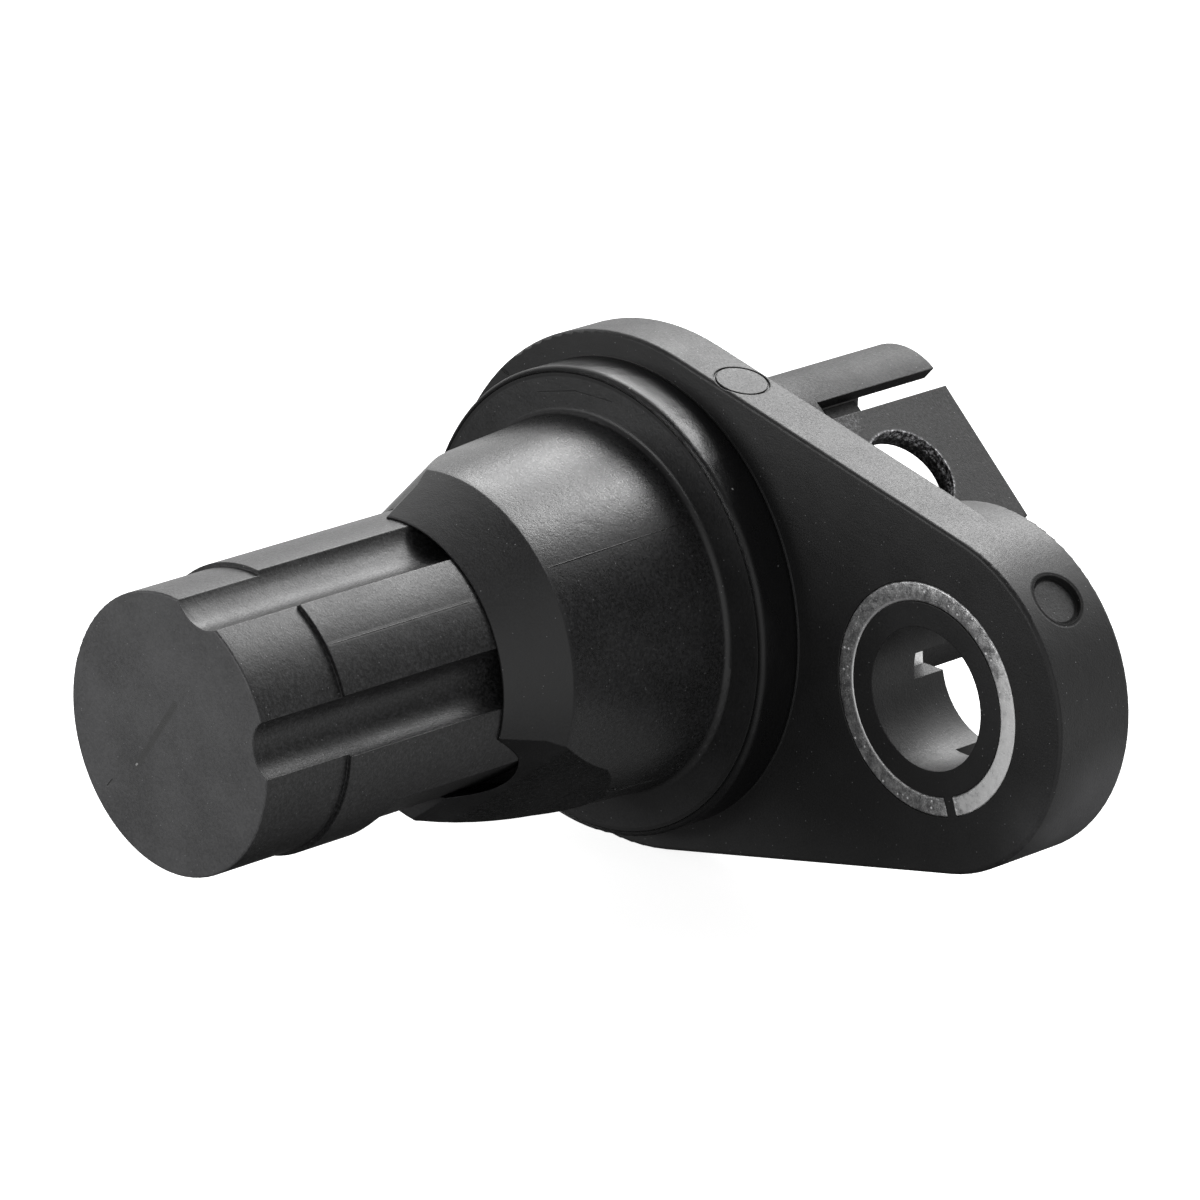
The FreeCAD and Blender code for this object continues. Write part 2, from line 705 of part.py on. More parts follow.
def write_piece(name, shape):
    """Writes one piece, laid down about X so that the tip points along -Y and up stays up."""
    laid = shape.copy()
    laid.rotate(CENTRE, V(1, 0, 0), 90)
    solids = laid.Solids
    whole = solids[0] if len(solids) == 1 else Part.makeCompound(solids)
    whole.exportStep("parts/" + name + ".step")
    print(name, "solids", len(solids), "valid", whole.isValid(), "volume", round(whole.Volume, 3))


PIECES = {
    "housing": housing,
    "nose_cap": nose_cap,
    "seal_ring": seal_ring,
    "mounting_bush": mounting_bush,
    "cap_seal_ring": cap_seal_ring,
    "terminal_carrier": terminal_carrier,
    "supply_terminal": lambda: terminal(-1),
    "signal_terminal": lambda: terminal(0),
    "ground_terminal": lambda: terminal(1),
    "potting_resin": potting_resin,
    "chip_holder": chip_holder,
    "hall_chip": hall_chip,
    "pole_plate": pole_plate,
    "bias_magnet": bias_magnet,
    "supply_lead": lambda: chip_lead(-1),
    "signal_lead": lambda: chip_lead(0),
    "ground_lead": lambda: chip_lead(1),
    "circuit_board": circuit_board,
    "supply_capacitor": lambda: small_part(-1),
    "series_resistor": lambda: small_part(0),
    "signal_capacitor": lambda: small_part(1),
    "terminal_solder": terminal_solder,
    "lead_solder": lead_solder,
}

os.makedirs("parts", exist_ok=True)
for piece_name, make_piece in PIECES.items():
    write_piece(piece_name, make_piece())
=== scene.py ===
"""Looks of the camshaft position sensor: finishes, mould flash, the split bush, and a plain studio."""
import logging
import math
import random
from dataclasses import dataclass
from enum import Enum
from typing import Any, Mapping, Sequence, Union

import bmesh
import bpy
from mathutils import Matrix, Vector


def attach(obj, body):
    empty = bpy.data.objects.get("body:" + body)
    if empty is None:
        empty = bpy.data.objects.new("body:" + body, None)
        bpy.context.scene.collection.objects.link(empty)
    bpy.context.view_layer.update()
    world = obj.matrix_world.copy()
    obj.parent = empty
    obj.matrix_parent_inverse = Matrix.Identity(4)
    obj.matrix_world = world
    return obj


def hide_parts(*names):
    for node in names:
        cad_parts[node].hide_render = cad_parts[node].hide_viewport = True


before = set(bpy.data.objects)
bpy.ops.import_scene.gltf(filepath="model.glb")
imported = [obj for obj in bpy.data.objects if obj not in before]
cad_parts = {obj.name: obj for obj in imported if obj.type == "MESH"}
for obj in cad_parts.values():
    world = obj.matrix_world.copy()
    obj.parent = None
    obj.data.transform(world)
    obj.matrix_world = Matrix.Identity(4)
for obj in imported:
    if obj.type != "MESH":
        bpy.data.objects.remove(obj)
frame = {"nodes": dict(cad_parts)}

LOG = logging.getLogger("camshaft_sensor")
MM = 0.001
MIDDLE = 0.5
BEVEL_SAMPLES = 6
MASK_CORE = 0.4
TOWARDS_BARREL = (-1.0, 0.0, 0.0)
TOWARDS_TIP = (0.0, -1.0, 0.0)
ACROSS_AXIS = (1.0, 0.0, 1.0)
WHITE = (1.0, 1.0, 1.0)
RED = (1.0, 0.0, 0.0)

Point = tuple[float, float, float]
RGB = tuple[float, float, float]
Span = tuple[float, float]
Term = Union["Sock", float, int, Point]
Key = Union[str, int]
Inputs = Mapping[Key, Term]


def row_point(radius: float, angle: float, along: float) -> Vector:
    """Turns a place on the sensor into row frame metres.

    Args:
        radius: distance from the sensor's axis in mm.
        angle: degrees about the axis, from the bolt's side towards the top.
        along: mm from the flange's mounting face towards the tip.

    Returns:
        The point in metres.
    """
    turn = math.radians(angle)
    return Vector((radius * math.cos(turn), -along, radius * math.sin(turn))) * MM


class Sock:
    """A shader socket that takes part in Python arithmetic."""

    def __init__(self, graph: "Graph", port: bpy.types.NodeSocket) -> None:
        """Keeps the socket and the graph that it belongs to."""
        self.graph = graph
        self.port = port

    def holds_vector(self) -> bool:
        """Tells a vector or colour socket from a number."""
        return self.port.type in {"VECTOR", "RGBA"}

    @staticmethod
    def _is_vector(term: Term) -> bool:
        """Tells a vector or colour term from a number."""
        return isinstance(term, tuple) or (isinstance(term, Sock) and term.holds_vector())

    def _joined(self, operation: str, first: Term, second: Term) -> "Sock":
        """Adds the node that joins two terms.

        Args:
            operation: name of the Math or Vector Math operation.
            first: left term.
            second: right term.

        Returns:
            The node's result.
        """
        terms = (first, second)
        plain = [t for t in terms if not self._is_vector(t)]
        if len(plain) == len(terms):
            return self.graph.node("ShaderNodeMath", {"operation": operation}, {0: first, 1: second})
        if operation == "MULTIPLY" and plain:
            vector = second if plain[0] is first else first
            return self.graph.node("ShaderNodeVectorMath", {"operation": "SCALE"}, {0: vector, 3: plain[0]})
        spread = [(t, t, t) if isinstance(t, (int, float)) else t for t in terms]
        return self.graph.node("ShaderNodeVectorMath", {"operation": operation}, {0: spread[0], 1: spread[1]})

    def __add__(self, other: Term) -> "Sock":
        """Sum."""
        return self._joined("ADD", self, other)

    def __radd__(self, other: Term) -> "Sock":
        """Sum with the socket on the right."""
        return self._joined("ADD", other, self)

    def __sub__(self, other: Term) -> "Sock":
        """Difference."""
        return self._joined("SUBTRACT", self, other)

    def __rsub__(self, other: Term) -> "Sock":
        """Difference with the socket on the right."""
        return self._joined("SUBTRACT", other, self)

    def __mul__(self, other: Term) -> "Sock":
        """Product."""
        return self._joined("MULTIPLY", self, other)

    def __rmul__(self, other: Term) -> "Sock":
        """Product with the socket on the right."""
        return self._joined("MULTIPLY", other, self)

    def __abs__(self) -> "Sock":
        """Size without its sign."""
        return self.graph.node("ShaderNodeMath", {"operation": "ABSOLUTE"}, {0: self})

    def least(self, other: Term) -> "Sock":
        """The smaller of two numbers."""
        return self._joined("MINIMUM", self, other)

    def most(self, other: Term) -> "Sock":
        """The larger of two numbers."""
        return self._joined("MAXIMUM", self, other)

    def dot(self, direction: Sequence[float]) -> "Sock":
        """Length of a vector along a direction."""
        inputs = {0: self, 1: tuple(direction)}
        return self.graph.node("ShaderNodeVectorMath", {"operation": "DOT_PRODUCT"}, inputs, "Value")

    def length(self) -> "Sock":
        """Length of a vector."""
        return self.graph.node("ShaderNodeVectorMath", {"operation": "LENGTH"}, {0: self}, "Value")

    def step(self, low: float, high: float) -> "Sock":
        """Smooth rise from 0 at low to 1 at high; a fall if low is the larger.

        Args:
            low: value that gives 0.
            high: value that gives 1.

        Returns:
            A number between 0 and 1.
        """
        settings = {"interpolation_type": "SMOOTHSTEP", "clamp": True}
        inputs = {"Value": self, "From Min": min(low, high), "From Max": max(low, high)}
        if low > high:
            inputs |= {"To Min": 1.0, "To Max": 0.0}
        return self.graph.node("ShaderNodeMapRange", settings, inputs)


@dataclass(frozen=True)
class Noise:
    """A cloudy noise: its cells per millimetre, its number of finer layers and their strength."""

    per_mm: float
    layers: float = 2.0
    strength: float = 0.5


@dataclass(frozen=True)
class Dots:
    """Small sharp dots: their cells per millimetre, the part of the cells with one, and its radius in cells.

    full_share is the part of the dots at full strength, and core the part of their radius without fade.
    """

    per_mm: float
    share: float
    size: float
    full_share: float = 0.6
    core: float = 0.5


class Graph:
    """Builds one node tree."""

    def __init__(self, tree: bpy.types.NodeTree) -> None:
        """Empties the tree and keeps it."""
        self.tree = tree
        tree.nodes.clear()

    def node(self, kind: str, settings: Mapping[str, Any], sockets: Inputs, output: Key = 0) -> Sock:
        """Adds any node.

        Args:
            kind: the node's type name.
            settings: its own settings, set before its sockets.
            sockets: a value or a Sock for each named or numbered input.
            output: the name or number of the output to return.

        Returns:
            The chosen output, or the first input of a node that has no output.
        """
        made = self.tree.nodes.new(kind)
        for name, value in settings.items():
            setattr(made, name, value)
        for key, value in sockets.items():
            if isinstance(value, Sock):
                self.tree.links.new(value.port, made.inputs[key])
            else:
                made.inputs[key].default_value = value
        if not made.outputs:
            return Sock(self, made.inputs[0])
        return Sock(self, made.outputs[output])

    def place_mm(self) -> Sock:
        """The surface point in the row frame, in millimetres."""
        return self.node("ShaderNodeTexCoord", {}, {}, "Object") * (1.0 / MM)

    def noise(self, where: Sock, kind: Noise) -> Sock:
        """Cloudy noise around 0.5, mostly between 0.2 and 0.8.

        Args:
            where: point in mm.
            kind: the noise's fineness and layers.

        Returns:
            The noise.
        """
        inputs = {"Vector": where, "Scale": kind.per_mm, "Detail": kind.layers, "Roughness": kind.strength}
        return self.node("ShaderNodeTexNoise", {"noise_dimensions": "3D"}, inputs)

    def cells(self, where: Sock, per_mm: float, output: str = "Distance") -> Sock:
        """Scattered cells: distance to the nearest centre, or each cell's own random colour."""
        settings = {"feature": "F1", "voronoi_dimensions": "3D"}
        return self.node("ShaderNodeTexVoronoi", settings, {"Vector": where, "Scale": per_mm}, output)

    def dots(self, where: Sock, kind: Dots) -> Sock:
        """Small sharp dots at a share of scattered cells.

        Args:
            where: point in mm.
            kind: the dots' number and size.

        Returns:
            1 on a dot and 0 beside it.
        """
        draw = self.cells(where, kind.per_mm, "Color").dot(RED)
        chosen = draw.step(1.0 - kind.share, 1.0 - kind.share * kind.full_share)
        return chosen * self.cells(where, kind.per_mm).step(kind.size, kind.size * kind.core)

    def blend(self, factor: Term, low: Term, high: Term) -> Sock:
        """A colour between two others.

        Args:
            factor: 0 for low and 1 for high.
            low: colour at 0.
            high: colour at 1.

        Returns:
            The mixed colour.
        """
        def four(colour: Term) -> Any:
            """Adds the fourth number that a colour socket wants."""
            return (*colour, 1.0) if isinstance(colour, tuple) else colour

        settings = {"data_type": "RGBA", "blend_type": "MIX", "clamp_factor": True}
        return self.node("ShaderNodeMix", settings, {0: factor, 6: four(low), 7: four(high)}, 2)

    def stroke(self, where: Sock, start: Point, end: Point, width: float) -> Sock:
        """Soft-edged straight stroke between two points.

        Args:
            where: point in mm.
            start: one end in mm.
            end: other end in mm.
            width: full width in mm.

        Returns:
            1 on the stroke and 0 away from it.
        """
        run = Vector(end) - Vector(start)
        half = width / 2
        from_start = where - start
        share = from_start.dot(run / run.length_squared).most(0.0).least(1.0)
        return (from_start - share * tuple(run)).length().step(half, half * MASK_CORE)

    def rounded_normal(self, radius_mm: float) -> Sock:
        """Surface normal with the edges softened by a small radius."""
        return self.node("ShaderNodeBevel", {"samples": BEVEL_SAMPLES}, {"Radius": radius_mm * MM}, "Normal")

    def relief(self, height: Sock, depth_mm: float, normal: Sock | None = None) -> Sock:
        """Normal bent by a height field.

        Args:
            height: number between about 0 and 1.
            depth_mm: real height of 1 in mm.
            normal: normal to start from.

        Returns:
            The bent normal.
        """
        inputs = {"Height": height, "Distance": depth_mm * MM, "Strength": 1.0}
        if normal is not None:
            inputs["Normal"] = normal
        return self.node("ShaderNodeBump", {}, inputs, "Normal")

    def surface(self, sockets: Inputs) -> None:
        """Ends the tree with one Principled shader.

        Args:
            sockets: value or Sock for each input by name.
        """
        shader = self.node("ShaderNodeBsdfPrincipled", {}, sockets, "BSDF")
        self.node("ShaderNodeOutputMaterial", {}, {"Surface": shader})


def new_material(name: str) -> tuple[bpy.types.Material, Graph]:
    """Makes an empty node material.

    Args:
        name: the material's name.

    Returns:
        The material and its graph.
    """
    material = bpy.data.materials.new(name)
    material.use_nodes = True
    return material, Graph(material.node_tree)


@dataclass(frozen=True)
class Nick:
    """A fine straight mark on a moulded face, or a line of painted highlight, in row frame millimetres."""

    start: Point
    end: Point
    width: float
    shade: float
    depth: float = 0.8


@dataclass(frozen=True)
class Skin:
    """How one stretch of a moulding differs from the rest: paler by a factor, glossier, grainier or sunk. On
    some stretches the paler factor is painted light, on some painted shade.
    """

    paler: float = 1.0
    glossier: float = 0.0
    grainier: float = 0.0
    sunk: float = 0.0


@dataclass(frozen=True)
class Zone:
    """A stretch round the sensor's axis with its own skin.

    Its rear and front are in mm from the flange's mounting face, counted towards the tip.
    """

    rear: float
    front: float
    radius: float
    skin: Skin
    edge: float = 0.1
    inner: float = 0.0

    def mask(self, where: Sock) -> Sock:
        """Marks the stretch.

        Args:
            where: point in mm.

        Returns:
            1 inside the stretch and 0 outside it.
        """
        along = where.dot(TOWARDS_TIP)
        off_axis = (where * ACROSS_AXIS).length()
        inside = along.step(self.rear, self.rear + self.edge) * along.step(self.front, self.front - self.edge)
        inside = inside * off_axis.step(self.radius, self.radius - self.edge)
        if self.inner > 0.0:
            inside = inside * off_axis.step(self.inner - self.edge, self.inner)
        return inside


@dataclass(frozen=True)
class Patch:
    """A round spot with its own skin, around a point in row frame mm; a rim width makes it a ring."""

    centre: Point
    radius: float
    skin: Skin
    edge: float = 0.15
    rim: float = 0.0

    def mask(self, where: Sock) -> Sock:
        """Marks the spot, or its rim if it has one.

        Args:
            where: point in mm.

        Returns:
            1 on the spot or rim and 0 elsewhere.
        """
        distance = (where - self.centre).length()
        if self.rim > 0.0:
            return abs(distance - self.radius).step(self.rim, self.rim * MASK_CORE)
        return distance.step(self.radius, self.radius - self.edge)


@dataclass(frozen=True)
class MouldedPlastic:
    """Black glass-filled plastic as it comes from the mould, with painted light and shade on some regions."""

    name: str
    colour: RGB = (0.016, 0.016, 0.0165)
    pale: RGB = (0.2, 0.2, 0.205)
    least_shade: float = 0.8
    roughness: float = 0.42
    specular: float = 0.5
    cloud: Noise = Noise(0.35, 3.0, 0.55)
    cloud_span: Span = (0.3, 0.75)
    cloud_shade: float = 0.35
    cloud_roughness: float = 0.16
    grain: Noise = Noise(9.0, 3.0, 0.65)
    grain_span: Span = (0.25, 0.8)
    grain_shade: float = 0.5
    grain_roughness: float = 0.4
    grain_mm: float = 0.012
    coarse: Noise = Noise(6.0, 3.0, 0.8)
    coarse_span: Span = (0.35, 0.75)
    mottle_gain: float = 2.2
    mottle_drop: float = 0.9
    ripple: Noise = Noise(1.3)
    ripple_mm: float = 0.014
    specks: Dots = Dots(7.0, 0.045, 0.26)
    speck_cover: float = 0.8
    speck_height: float = 0.5
    edge_mm: float = 0.08
    regions: tuple[Union[Zone, Patch], ...] = ()
    nicks: tuple[Nick, ...] = ()

    def material(self) -> bpy.types.Material:
        """Builds the material: cloudy sheen, fine grain, pale specks, marks, painted light and shade on some
        regions, and softened edges.

        Returns:
            The material.
        """
        material, graph = new_material(self.name)
        where = graph.place_mm()
        cloud = graph.noise(where, self.cloud)
        grain = graph.noise(where, self.grain)
        coarse = graph.noise(where, self.coarse)
        specks = graph.dots(where, self.specks)
        shade = cloud.step(*self.cloud_span) * self.cloud_shade
        shade = shade + grain.step(*self.grain_span) * self.grain_shade + self.least_shade
        height = grain + specks * self.speck_height
        rough = (cloud - MIDDLE) * self.cloud_roughness + (grain - MIDDLE) * self.grain_roughness
        rough = rough + self.roughness
        # regions make the colour paler or darker; on some this is painted light, on some painted shade
        for region in self.regions:
            skin = region.skin
            mask = region.mask(where)
            shade = shade * (mask * (skin.paler - 1.0) + 1.0)
            if skin.glossier:
                rough = rough - mask * skin.glossier
            if skin.sunk:
                height = height - mask * skin.sunk
            if skin.grainier:
                height = height + mask * coarse * skin.grainier
                mottle = coarse.step(*self.coarse_span) * self.mottle_gain - self.mottle_drop
                shade = shade * (mask * (mottle * min(1.0, skin.grainier)) + 1.0)
        colour = graph.blend(specks * self.speck_cover, shade * self.colour, self.pale)
        for nick in self.nicks:
            mark = graph.stroke(where, nick.start, nick.end, nick.width)
            colour = graph.blend(mark, colour, (nick.shade, nick.shade, nick.shade))
            height = height - mark * nick.depth
        soft = graph.rounded_normal(self.edge_mm)
        soft = graph.relief(graph.noise(where, self.ripple), self.ripple_mm, soft)
        graph.surface({
            "Base Color": colour, "Roughness": rough, "Specular IOR Level": self.specular,
            "Normal": graph.relief(height, self.grain_mm, soft),
        })
        return material


@dataclass(frozen=True)
class SealRubber:
    """Smooth black rubber with a wet-looking shine and a little dust."""

    name: str = "seal_rubber"
    colour: RGB = (0.008, 0.008, 0.0085)
    dust: RGB = (0.3, 0.3, 0.3)
    roughness: float = 0.3
    specular: float = 0.4
    cloud: Noise = Noise(0.5, 3.0, 0.6)
    cloud_roughness: float = 0.18
    wave: Noise = Noise(0.9, 1.0, 0.4)
    wave_mm: float = 0.05
    fine: Noise = Noise(8.0, 3.0, 0.7)
    fine_mm: float = 0.012
    specks: Dots = Dots(2.2, 0.05, 0.16)
    speck_roughness: float = 0.4
    edge_mm: float = 0.4

    def material(self) -> bpy.types.Material:
        """Builds the material.

        Returns:
            The material.
        """
        material, graph = new_material(self.name)
        where = graph.place_mm()
        cloud = graph.noise(where, self.cloud)
        specks = graph.dots(where, self.specks)
        rough = (cloud - MIDDLE) * self.cloud_roughness + specks * self.speck_roughness + self.roughness
        bent = graph.relief(graph.noise(where, self.wave), self.wave_mm, graph.rounded_normal(self.edge_mm))
        graph.surface({
            "Base Color": graph.blend(specks, self.colour, self.dust), "Roughness": rough,
            "Specular IOR Level": self.specular,
            "Normal": graph.relief(graph.noise(where, self.fine) + specks, self.fine_mm, bent),
        })
        return material


@dataclass(frozen=True)
class RolledSteel:
    """Bare steel strip rolled into a bush: mottled, slightly dull, with fine pits and bright dots.

    One side carries a painted highlight, and so does the inner lip on the side of the sensor's axis. The
    inner radius and the axis are in row frame mm.
    """

    inner: float
    axis_mm: Point
    name: str = "bush_steel"
    bright: RGB = (0.92, 0.92, 0.92)
    dull: RGB = (0.2, 0.2, 0.205)
    roughness: float = 0.4
    metal: float = 0.85
    mottle: Noise = Noise(2.2, 4.0, 0.7)
    mottle_share: float = 0.65
    fine: Noise = Noise(12.0, 3.0, 0.75)
    fine_roughness: float = 0.3
    fine_height: float = 0.5
    shade_span: Span = (0.36, 0.72)
    specks: Dots = Dots(3.2, 0.45, 0.25)
    speck_roughness: float = 0.2
    pits_per_mm: float = 5.0
    pit_span: Span = (0.22, 0.05)
    pit_metal: float = 0.4
    pit_height: float = 0.7
    # painted highlight on the side of the bush away from the sensor
    painted_highlight_towards: Point = (0.95, 0.0, -0.31)
    painted_highlight_span: Span = (2.2, 5.6)
    painted_highlight_wander: float = 2.5
    painted_highlight_mottle: float = 0.8
    painted_highlight_least: float = 0.5
    painted_highlight_shade: float = 0.3
    painted_highlight_cover: float = 0.85
    painted_highlight_metal: float = 0.75
    # painted highlight along the inner lip on the sensor's side
    lip_width: float = 0.2
    lip_core: float = 0.08
    lip_span: Span = (0.0, 2.5)
    lip_cover: float = 0.9
    relief_mm: float = 0.02

    def material(self) -> bpy.types.Material:
        """Builds the material.

        Returns:
            The material.
        """
        material, graph = new_material(self.name)
        where = graph.place_mm()
        from_axis = where - self.axis_mm
        mottle = graph.noise(where, self.mottle)
        fine = graph.noise(where, self.fine)
        specks = graph.dots(where, self.specks)
        pits = graph.cells(where, self.pits_per_mm).step(*self.pit_span)
        # painted highlight: the side away from the sensor is whiter and less metallic
        painted_highlight = from_axis.dot(self.painted_highlight_towards) + (mottle - MIDDLE) * self.painted_highlight_wander
        painted_highlight = painted_highlight.step(*self.painted_highlight_span) * (mottle * self.painted_highlight_mottle + self.painted_highlight_least)
        # painted highlight along the inner lip on the sensor's side
        lip = (from_axis * ACROSS_AXIS).length().step(self.inner + self.lip_width, self.inner + self.lip_core)
        lip = lip * from_axis.dot(TOWARDS_BARREL).step(*self.lip_span)
        shade = mottle * self.mottle_share + fine * (1.0 - self.mottle_share) + painted_highlight * self.painted_highlight_shade
        colour = graph.blend(shade.step(*self.shade_span), self.dull, self.bright)
        cover = (specks + painted_highlight * self.painted_highlight_cover + lip * self.lip_cover).least(1.0)
        metal = self.metal - pits * self.pit_metal - painted_highlight * self.painted_highlight_metal - specks
        rough = (fine - MIDDLE) * self.fine_roughness + specks * self.speck_roughness + self.roughness
        height = fine * self.fine_height + mottle - pits * self.pit_height
        graph.surface({
            "Base Color": graph.blend(cover, colour, WHITE), "Roughness": rough, "Metallic": metal.most(0.0),
            "Normal": graph.relief(height, self.relief_mm),
        })
        return material


class InnerKind(Enum):
    """Finishes of the pieces that mostly hide inside, as colour, roughness and metal share."""

    TIN = ((0.72, 0.7, 0.66), 0.3, 1.0)
    LEAD = ((0.75, 0.73, 0.7), 0.28, 1.0)
    CARRIER = ((0.03, 0.03, 0.031), 0.5, 0.0)
    RESIN = ((0.03, 0.027, 0.024), 0.25, 0.0)
    EPOXY = ((0.035, 0.035, 0.038), 0.55, 0.0)
    PLATE = ((0.6, 0.6, 0.61), 0.35, 1.0)
    MAGNET = ((0.5, 0.5, 0.52), 0.25, 1.0)
    BOARD = ((0.03, 0.16, 0.07), 0.35, 0.0)
    CERAMIC = ((0.42, 0.33, 0.23), 0.4, 0.0)
    SOLDER = ((0.72, 0.72, 0.74), 0.22, 1.0)


@dataclass(frozen=True)
class InnerFinish:
    """Finish of one inner piece: its colour with clouding, grain and a small relief."""

    kind: InnerKind
    cloud: Noise = Noise(1.2, 3.0, 0.6)
    cloud_span: Span = (0.3, 0.7)
    cloud_roughness: float = 0.15
    darkest: float = 0.8
    fine: Noise = Noise(11.0, 2.0, 0.6)
    fine_roughness: float = 0.2
    relief_mm: float = 0.005

    def material(self) -> bpy.types.Material:
        """Builds the material.

        Returns:
            The material.
        """
        colour, roughness, metal = self.kind.value
        material, graph = new_material("inner_" + self.kind.name.lower())
        where = graph.place_mm()
        cloud = graph.noise(where, self.cloud)
        fine = graph.noise(where, self.fine)
        darker = tuple(self.darkest * c for c in colour)
        rough = (fine - MIDDLE) * self.fine_roughness + (cloud - MIDDLE) * self.cloud_roughness + roughness
        graph.surface({
            "Base Color": graph.blend(cloud.step(*self.cloud_span), darker, colour), "Roughness": rough,
            "Metallic": metal, "Normal": graph.relief(fine, self.relief_mm),
        })
        return material


def set_material(thing: bpy.types.Object, material: bpy.types.Material) -> None:
    """Gives an object one material."""
    thing.data.materials.clear()
    thing.data.materials.append(material)


def swept_mesh(name: str, rings: Sequence[Sequence[Vector]]) -> bpy.types.Mesh:
    """Joins a row of like rings of points into a closed skin with a face at each end.

    Args:
        name: the mesh's name.
        rings: the rings' points, in row frame metres.

    Returns:
        The mesh.
    """
    build = bmesh.new()
    rows = [[build.verts.new(point) for point in ring] for ring in rings]
    count = len(rows[0])
    for near, far in zip(rows, rows[1:]):
        for k in range(count):
            after = (k + 1) % count
            build.faces.new((near[k], near[after], far[after], far[k]))
    build.faces.new(rows[0])
    build.faces.new(list(reversed(rows[-1])))
    bmesh.ops.recalc_face_normals(build, faces=build.faces)
    mesh = bpy.data.meshes.new(name)
    build.to_mesh(mesh)
    build.free()
    return mesh


def add_piece(name: str, mesh: bpy.types.Mesh, material: bpy.types.Material) -> bpy.types.Object:
    """Links a new visible piece that rides with the sensor.

    Args:
        name: the piece's name.
        mesh: its finished mesh, in row frame metres.
        material: its material.

    Returns:
        The new object.
    """
    piece = bpy.data.objects.new(name, mesh)
    bpy.context.scene.collection.objects.link(piece)
    set_material(piece, material)
    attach(piece, "root")
    LOG.info("made %s with %d faces", name, len(mesh.polygons))
    return piece


@dataclass(frozen=True)
class MountingBush:
    """The split steel ring in the ear, with rolled edges and a gap; sizes in mm and degrees."""

    pitch: float = 20.0
    outer: float = 5.7
    wall: float = 0.98
    depth: float = 4.85
    edge: float = 0.13
    gap: float = 0.6
    gap_angle: float = -70.0
    steps: int = 220
    corner_steps: int = 4
    smooth_below: float = 40.0

    def _section(self) -> list[Span]:
        """Rounds the strip's section.

        Returns:
            Its points as radius and depth behind the face, in mm.
        """
        middle_r = self.outer - self.wall / 2
        half_r = self.wall / 2 - self.edge
        corners = ((1, 0, -90.0), (1, 1, 0.0), (-1, 1, 90.0), (-1, 0, 180.0))
        points = []
        for side, back, start in corners:
            centre_r = middle_r + side * half_r
            centre_y = self.depth - self.edge if back else self.edge
            for k in range(self.corner_steps + 1):
                turn = math.radians(start + 90.0 * k / self.corner_steps)
                points.append((centre_r + self.edge * math.cos(turn), centre_y + self.edge * math.sin(turn)))
        return points

    def mesh(self) -> bpy.types.Mesh:
        """Sweeps the section round the bolt's axis, up to the gap on both sides.

        Returns:
            The mesh.
        """
        half_gap = math.degrees(math.asin(self.gap / 2 / self.outer))
        start = self.gap_angle + half_gap
        sweep = 360.0 - 2 * half_gap
        section = self._section()
        centre = Vector((self.pitch, 0.0, 0.0))
        rings = []
        for k in range(self.steps + 1):
            turn = math.radians(start + sweep * k / self.steps)
            across = Vector((math.cos(turn), 0.0, math.sin(turn)))
            rings.append([(centre + across * r + Vector((0.0, y, 0.0))) * MM for r, y in section])
        mesh = swept_mesh("mounting_bush_visual", rings)
        mesh.polygons.foreach_set("use_smooth", [True] * len(mesh.polygons))
        mesh.set_sharp_from_angle(angle=math.radians(self.smooth_below))
        return mesh

    def dress(self) -> None:
        """Puts the rolled strip in place of the plain ring."""
        steel = RolledSteel(inner=self.outer - self.wall, axis_mm=(self.pitch, 0.0, 0.0))
        piece = add_piece("bush_strip", self.mesh(), steel.material())
        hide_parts("mounting_bush")


@dataclass(frozen=True)
class FlashLine:
    """A low ridge that the mould's joint leaves along a moulding.

    Its route is given as radius and mm towards the tip, its angle in degrees, and its sizes in mm.
    """

    name: str
    angle: float
    route: tuple[Span, ...]
    slot: str
    seed: int
    half_width: float = 0.05
    height: float = 0.035
    least_height: float = 0.6
    root: float = 0.02
    spacing: float = 0.12
    fade_stations: int = 4

    def _stations(self) -> list[Span]:
        """Spreads points evenly along the route.

        Returns:
            The points as radius and mm towards the tip.
        """
        stations = []
        for (r0, z0), (r1, z1) in zip(self.route, self.route[1:]):
            count = max(2, round(math.hypot(r1 - r0, z1 - z0) / self.spacing))
            for k in range(count):
                share = k / count
                stations.append((r0 + (r1 - r0) * share, z0 + (z1 - z0) * share))
        stations.append(self.route[-1])
        return stations

    def mesh(self) -> bpy.types.Mesh:
        """Builds the ridge as a thin three-sided strip whose height wanders a little.

        Returns:
            The mesh.
        """
        wander = random.Random(self.seed)
        stations = self._stations()
        rings = []
        for k, (radius, along) in enumerate(stations):
            from_end = min(k, len(stations) - 1 - k)
            fade = min(1.0, from_end / self.fade_stations)
            height = self.height * (self.least_height + (1.0 - self.least_height) * wander.random()) * fade
            spread = math.degrees(self.half_width / radius)
            rings.append([
                row_point(radius - self.root, self.angle - spread, along),
                row_point(radius + height, self.angle, along),
                row_point(radius - self.root, self.angle + spread, along),
            ])
        return swept_mesh(self.name, rings)

    def dress(self, material: bpy.types.Material) -> None:
        """Adds the ridge in the moulding's own finish."""
        add_piece(self.name, self.mesh(), material)


# Places on the housing painted paler or darker, glossier, grainier or sunk; some paler ones are painted
# light, some darker ones painted shade
# the barrel: a little paler as painted sheen, and also glossier and grainier
BARREL = Zone(2.6, 12.0, 9.75, Skin(paler=1.1, glossier=0.11, grainier=0.6), edge=0.3)
# painted shade: the shoulder's rim is darker and rougher, to dull its edge highlight
SHOULDER_RIM_PAINTED_SHADE = Zone(2.2, 2.7, 11.6, Skin(paler=0.6, glossier=-0.3), inner=11.25)
FLANGE = Zone(-5.2, 0.4, 40.0, Skin(paler=0.7, glossier=-0.07), edge=0.4)
